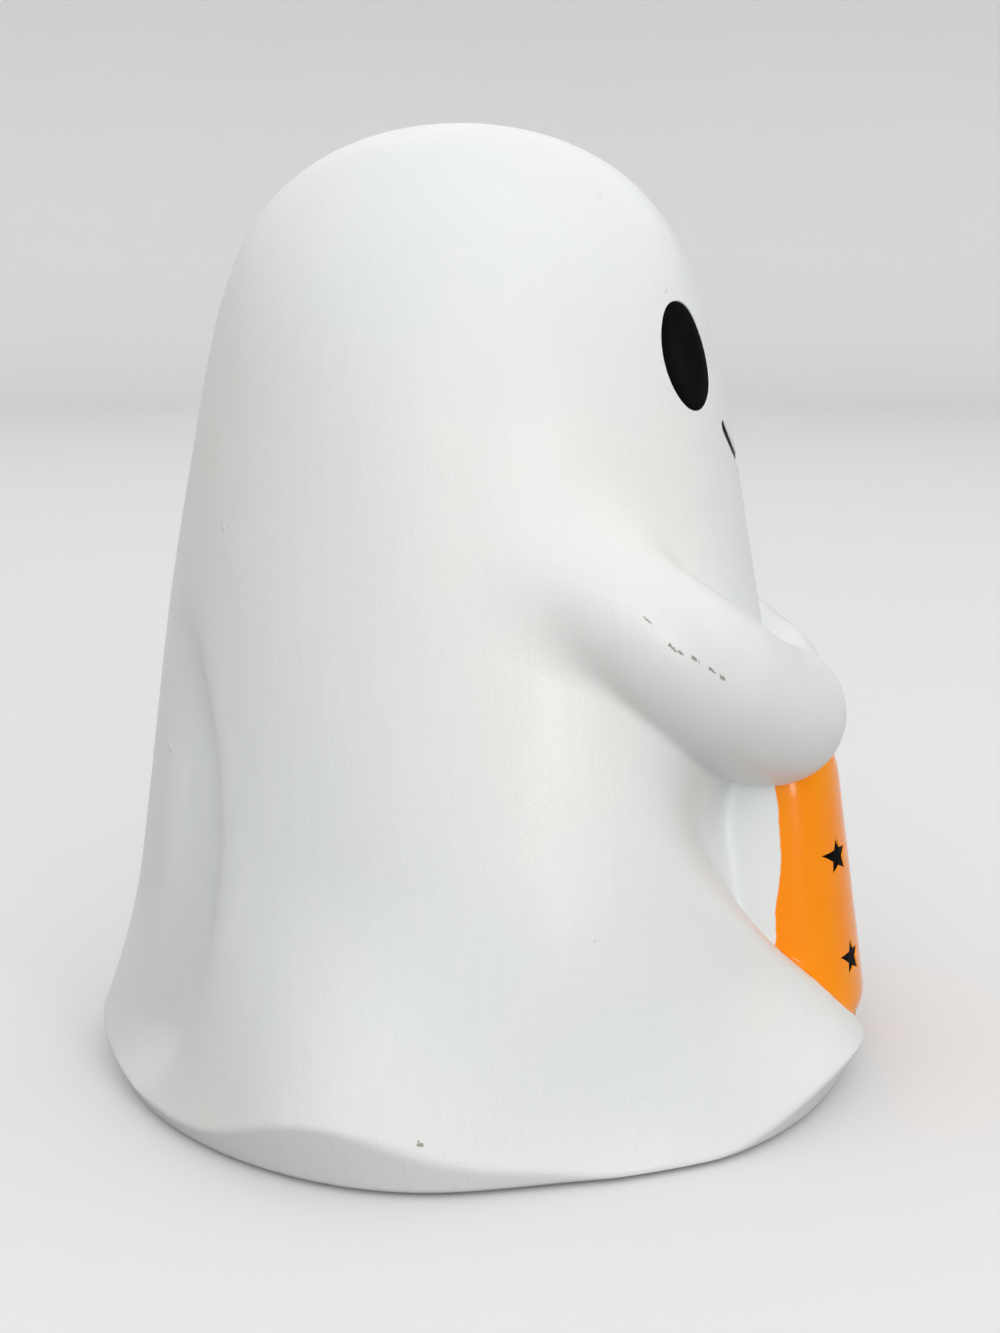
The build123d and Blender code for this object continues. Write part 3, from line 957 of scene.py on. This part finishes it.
def white_finish(tree, place):
    """Colour, roughness and fine relief of brushed white paint on fired clay."""
    tone = step_up(tree, noise(tree, place, scale=15.0, detail=3.0), low=0.35, high=0.65)
    colour = blend(tree, tone, WHITE_COOL, WHITE_WARM)
    brushed = noise(tree, place, scale=260.0, detail=3.0, stretch=(1.0, 1.0, 0.12))
    streaks = step_up(tree, brushed, low=0.55, high=0.8, start=0.0, end=0.35)
    colour = blend(tree, streaks, colour, WHITE_BRUSHED)
    dust = specks(tree, place, scale=70.0, share=0.16, size=0.022)
    dust = calc(tree, "MAXIMUM", dust, specks(tree, place, scale=150.0, share=0.05, size=0.05))
    colour = blend(tree, calc(tree, "MULTIPLY", dust, DUST_TINT), colour, DUST_COLOUR)
    rubbed = 0.0
    for middle, half_length, half_width in SCUFFS:
        rubbed = calc(tree, "MAXIMUM", rubbed, scuff(tree, place, middle, half_length, half_width))
    colour = blend(tree, calc(tree, "MULTIPLY", rubbed, SCUFF_TINT), colour, SCUFF_COLOUR)
    patches = noise(tree, place, scale=45.0, detail=3.0)
    roughness = step_up(tree, patches, low=0.3, high=0.7, start=0.34, end=0.46)
    grain = noise(tree, place, scale=1400.0, detail=2.0)
    relief = calc(tree, "MULTIPLY", brushed, BRUSH_RELIEF)
    relief = calc(tree, "ADD", relief, calc(tree, "MULTIPLY", grain, GRAIN_RELIEF))
    relief = calc(tree, "SUBTRACT", relief, calc(tree, "MULTIPLY", rubbed, SCUFF_RELIEF))
    drips = specks(tree, place, scale=110.0, share=0.10, size=0.10)
    relief = calc(tree, "ADD", relief, calc(tree, "MULTIPLY", drips, DRIP_RELIEF))
    return colour, roughness, relief


def white_material():
    """Satin white paint."""
    material, tree, shader, place = new_material("white_ceramic")
    colour, roughness, relief = white_finish(tree, place)
    tree.links.new(colour, shader.inputs["Base Color"])
    tree.links.new(roughness, shader.inputs["Roughness"])
    tree.links.new(bump(tree, relief, strength=0.7, depth=0.32), shader.inputs["Normal"])
    return material


def bag_material():
    """Orange gloss over the bag's front and sides, with a ragged brushed edge on the white behind it."""
    material, tree, shader, place = new_material("orange_glaze")
    white, white_rough, relief = white_finish(tree, place)
    split = tree.nodes.new("ShaderNodeSeparateXYZ")
    tree.links.new(place, split.inputs[0])
    edge = split.outputs["Y"]
    for scale, reach in ((62.0, PAINT_WAVE), (240.0, PAINT_RAGGED)):
        waver = calc(tree, "SUBTRACT", noise(tree, place, scale, detail=1.0), 0.5)
        edge = calc(tree, "ADD", edge, calc(tree, "MULTIPLY", waver, reach * MM))
    start, end = -(PAINT_EDGE - PAINT_EDGE_SOFT) * MM, -(PAINT_EDGE + PAINT_EDGE_SOFT) * MM
    painted = step_up(tree, edge, low=start, high=end)
    strokes = noise(tree, place, scale=60.0, detail=3.0, stretch=(1.0, 1.0, 0.25))
    orange = blend(tree, step_up(tree, strokes, low=0.3, high=0.7), ORANGE_DEEP, ORANGE_LIGHT)
    tree.links.new(blend(tree, painted, white, orange), shader.inputs["Base Color"])
    patches = noise(tree, place, scale=80.0, detail=2.0)
    gloss = step_up(tree, patches, low=0.3, high=0.7, start=0.15, end=0.21)
    bare = calc(tree, "MULTIPLY", calc(tree, "SUBTRACT", 1.0, painted), white_rough)
    rough = calc(tree, "ADD", calc(tree, "MULTIPLY", painted, gloss), bare)
    tree.links.new(rough, shader.inputs["Roughness"])
    shader.inputs["Specular IOR Level"].default_value = GLAZE_SPECULAR
    uneven = calc(tree, "SUBTRACT", 1.0, calc(tree, "MULTIPLY", painted, GLAZE_SMOOTHING))
    coarse = calc(tree, "MULTIPLY", noise(tree, place, scale=320.0, detail=3.0), uneven)
    height = calc(tree, "ADD", calc(tree, "MULTIPLY", relief, GLAZE_RELIEF), coarse)
    skin = bump(tree, height, strength=0.5, depth=0.35)
    tree.links.new(bump(tree, painted, strength=0.6, depth=0.15, normal=skin), shader.inputs["Normal"])
    return material


def black_material():
    """Gloss black enamel with a faint brushed skin."""
    material, tree, shader, place = new_material("black_enamel")
    tone = noise(tree, place, scale=120.0, detail=3.0, stretch=(1.0, 1.0, 0.3))
    tree.links.new(blend(tree, tone, ENAMEL_DEEP, ENAMEL_LIGHT), shader.inputs["Base Color"])
    roughness = step_up(tree, tone, low=0.3, high=0.7, start=0.20, end=0.30)
    tree.links.new(roughness, shader.inputs["Roughness"])
    shader.inputs["Specular IOR Level"].default_value = ENAMEL_SPECULAR
    skin = noise(tree, place, scale=300.0, detail=2.0)
    tree.links.new(bump(tree, skin, strength=0.35, depth=0.1), shader.inputs["Normal"])
    return material


def felt_material():
    """Pale pressed felt."""
    material, tree, shader, place = new_material("felt")
    fibre = noise(tree, place, scale=1500.0, detail=4.0, stretch=(1.0, 0.35, 1.0))
    tree.links.new(blend(tree, fibre, FELT_DARK, FELT_LIGHT), shader.inputs["Base Color"])
    shader.inputs["Roughness"].default_value = 0.95
    tree.links.new(bump(tree, fibre, strength=0.8, depth=0.3), shader.inputs["Normal"])
    return material


def floor_material():
    """Plain pale studio floor."""
    material, tree, shader, place = new_material("studio_floor")
    path = tree.nodes.new("ShaderNodeLightPath").outputs
    seen = calc(tree, "MAXIMUM", path["Is Camera Ray"], path["Is Glossy Ray"])
    seen = calc(tree, "MAXIMUM", seen, path["Is Transmission Ray"])
    lighter = tuple(part * FLOOR_MOTTLE for part in FLOOR_TONE)
    pale = blend(tree, noise(tree, place, scale=6.0, detail=2.0), FLOOR_TONE, lighter)
    tree.links.new(blend(tree, seen, FLOOR_BOUNCE, pale), shader.inputs["Base Color"])
    shader.inputs["Roughness"].default_value = 0.7
    return material


white = white_material()
orange = bag_material()
black = black_material()
felt = felt_material()


def dress(piece, material, slot, *nodes):
    """Give a piece its material and body, and let it stand for CAD nodes. The slot is not used."""
    piece.data.materials.clear()
    piece.data.materials.append(material)
    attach(piece, "root")
    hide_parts(*nodes)


# Body and face
body = make_body()
cutters = []
for side, word in ((1, "right"), (-1, "left")):
    outline, spine = oval(EYE_WIDTH, EYE_HEIGHT)
    cutters.append(slab(f"{word}_eye_cut", outline, spine, on_eye(side), CUTTER_LAYERS))
    eye = slab(f"{word}_eye_enamel", outline, spine, on_eye(side), EYE_LAYERS, rings=28)
    dress(eye, black, "black_enamel", f"{word}_eye")
outline, spine = smile_line()
on_face = on_front(sheet_field, FACE_START)
cutters.append(slab("smile_cut", outline, spine, on_face, CUTTER_LAYERS, rings=2))
smile = slab("smile_enamel", outline, spine, on_face, ENAMEL_LAYERS, rings=4)
dress(smile, black, "black_enamel", "smile")

pad_places = []
for step in range(PAD_COUNT):
    turn = 2 * math.pi * (step + 0.5) / PAD_COUNT
    pad_places.append((PAD_CIRCLE_RADIUS * math.cos(turn), PAD_CIRCLE_RADIUS * math.sin(turn)))
for index, place in enumerate(pad_places, start=1):
    seat = cylinder(f"pad_seat_{index}", PAD_RADIUS + PAD_CLEARANCE, -1.0, PAD_THICKNESS, place)
    cutters.append(seat)
    pad = cylinder(f"felt_pad_{index}", PAD_RADIUS, 0.0, PAD_THICKNESS, place, edge=PAD_EDGE)
    dress(pad, felt, "felt", f"foot_pad_{index}")
carve(body, cutters)
dress(body, white, "white_ceramic", "body_shell")

# Arms
arm_reach = HAND_RADIUS + SHOULDER_BLEND + ARM_BOX_MARGIN
low = ARM_LINE.min(0) - arm_reach
high = ARM_LINE.max(0) + arm_reach
arm_points, arm_faces = surface_net(arm_piece_field, low, high, NET_STEP)
for side, word in ((1, "right"), (-1, "left")):
    arm = add_mesh(f"{word}_sleeve", arm_points * [side, 1.0, 1.0], arm_faces)
    dress(arm, white, "white_ceramic", f"{word}_arm")

# Bag and its marks
bag_side = BAG_HALF_WIDTH + BAG_BOX_MARGIN
low = np.array([-bag_side, -BAG_FRONT - BAG_BOX_FRONT, BAG_BOTTOM - BAG_BOX_MARGIN])
high = np.array([bag_side, BAG_BOX_BACK, BAG_BOTTOM + BAG_HEIGHT + BAG_BOX_MARGIN])
bag_points, bag_faces = surface_net(bag_piece_field, low, high, NET_STEP)
bag = add_mesh("treat_pouch", bag_points, bag_faces)
marks = {"bag_moon": moon()}
for index, (across, up) in enumerate(((-1, -1), (-1, 1), (1, -1), (1, 1)), start=1):
    marks[f"bag_star_{index}"] = star(across * STAR_SIDE, MOON_LEVEL + up * STAR_RISE)
on_bag = on_front(bag_field, BAG_FRONT - BAG_HALF_DEPTH)
cutters = []
for name, (outline, spine) in marks.items():
    cutters.append(slab(f"{name}_cut", outline, spine, on_bag, CUTTER_LAYERS, rings=3))
    mark = slab(f"{name}_enamel", outline, spine, on_bag, ENAMEL_LAYERS, rings=5)
    dress(mark, black, "black_enamel", name)
carve(bag, cutters)
dress(bag, orange, "orange_glaze", "treat_bag")

# Floor, light and camera


def make_floor(columns=96, bend_rows=12):
    """Round pale floor that sweeps up into a low backdrop."""
    turn = np.linspace(0.0, 2 * np.pi, columns, endpoint=False)
    bend = np.linspace(0.0, np.pi / 2, bend_rows)
    radii = [0.0, FLOOR_MIDDLE, *(FLOOR_RADIUS + FLOOR_SWEEP * np.sin(bend)), FLOOR_RADIUS + FLOOR_SWEEP]
    heights = [0.0, 0.0, *(FLOOR_SWEEP * (1.0 - np.cos(bend))), BACKDROP_HEIGHT]
    rows = [
        np.stack([radius * np.cos(turn), radius * np.sin(turn), 0 * turn + height], axis=-1)
        for radius, height in zip(radii, heights)
    ]
    mesh = bpy.data.meshes.new("floor")
    faces = wrapped_rows(len(rows), columns).tolist()
    mesh.from_pydata(np.array(rows).reshape(-1, 3).tolist(), [], faces)
    shape = bmesh.new()
    shape.from_mesh(mesh)
    bmesh.ops.remove_doubles(shape, verts=shape.verts, dist=FLOOR_WELD)
    shape.to_mesh(mesh)
    shape.free()
    mesh.shade_smooth()
    floor = bpy.data.objects.new("floor", mesh)
    bpy.context.scene.collection.objects.link(floor)
    floor.data.materials.append(floor_material())
    floor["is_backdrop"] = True


def area_light(name, place, target, size, power):
    """Soft rectangular lamp that points at a target."""
    lamp = bpy.data.lights.new(name, "AREA")
    lamp.shape = "RECTANGLE"
    lamp.size, lamp.size_y = size
    lamp.energy = power
    holder = bpy.data.objects.new(name, lamp)
    holder.location = place
    holder.rotation_euler = (Vector(target) - Vector(place)).to_track_quat("-Z", "Y").to_euler()
    bpy.context.scene.collection.objects.link(holder)


def make_camera():
    """Camera where the photograph was taken from, looking along +X and a little down."""
    data = bpy.data.cameras.new("camera")
    data.lens = CAMERA_LENS
    data.sensor_width = CAMERA_SENSOR
    data.clip_start = CAMERA_NEAREST
    camera = bpy.data.objects.new("camera", data)
    camera.location = Vector(CAMERA_PLACE) * MM
    camera.rotation_euler = (math.radians(90.0 - CAMERA_PITCH), 0.0, math.radians(-90.0))
    bpy.context.scene.collection.objects.link(camera)
    bpy.context.scene.camera = camera


def make_world():
    """Soft room light, brighter at the sides than overhead."""
    world = bpy.data.worlds.new("studio")
    bpy.context.scene.world = world
    world.use_nodes = True
    tree = world.node_tree
    direction = tree.nodes.new("ShaderNodeTexCoord")
    parts = tree.nodes.new("ShaderNodeSeparateXYZ")
    tree.links.new(direction.outputs["Generated"], parts.inputs[0])
    strength = tree.nodes.new("ShaderNodeMapRange")
    strength.inputs["To Min"].default_value = ROOM_LIGHT_SIDE
    strength.inputs["To Max"].default_value = ROOM_LIGHT_OVERHEAD
    tree.links.new(parts.outputs["Z"], strength.inputs["Value"])
    background = tree.nodes["Background"]
    background.inputs["Color"].default_value = ROOM_LIGHT_COLOUR
    tree.links.new(strength.outputs["Result"], background.inputs["Strength"])


make_floor()
for lamp in LAMPS:
    area_light(*lamp)
make_world()
make_camera()
bpy.context.scene.view_settings.view_transform = "Standard"

low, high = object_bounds()
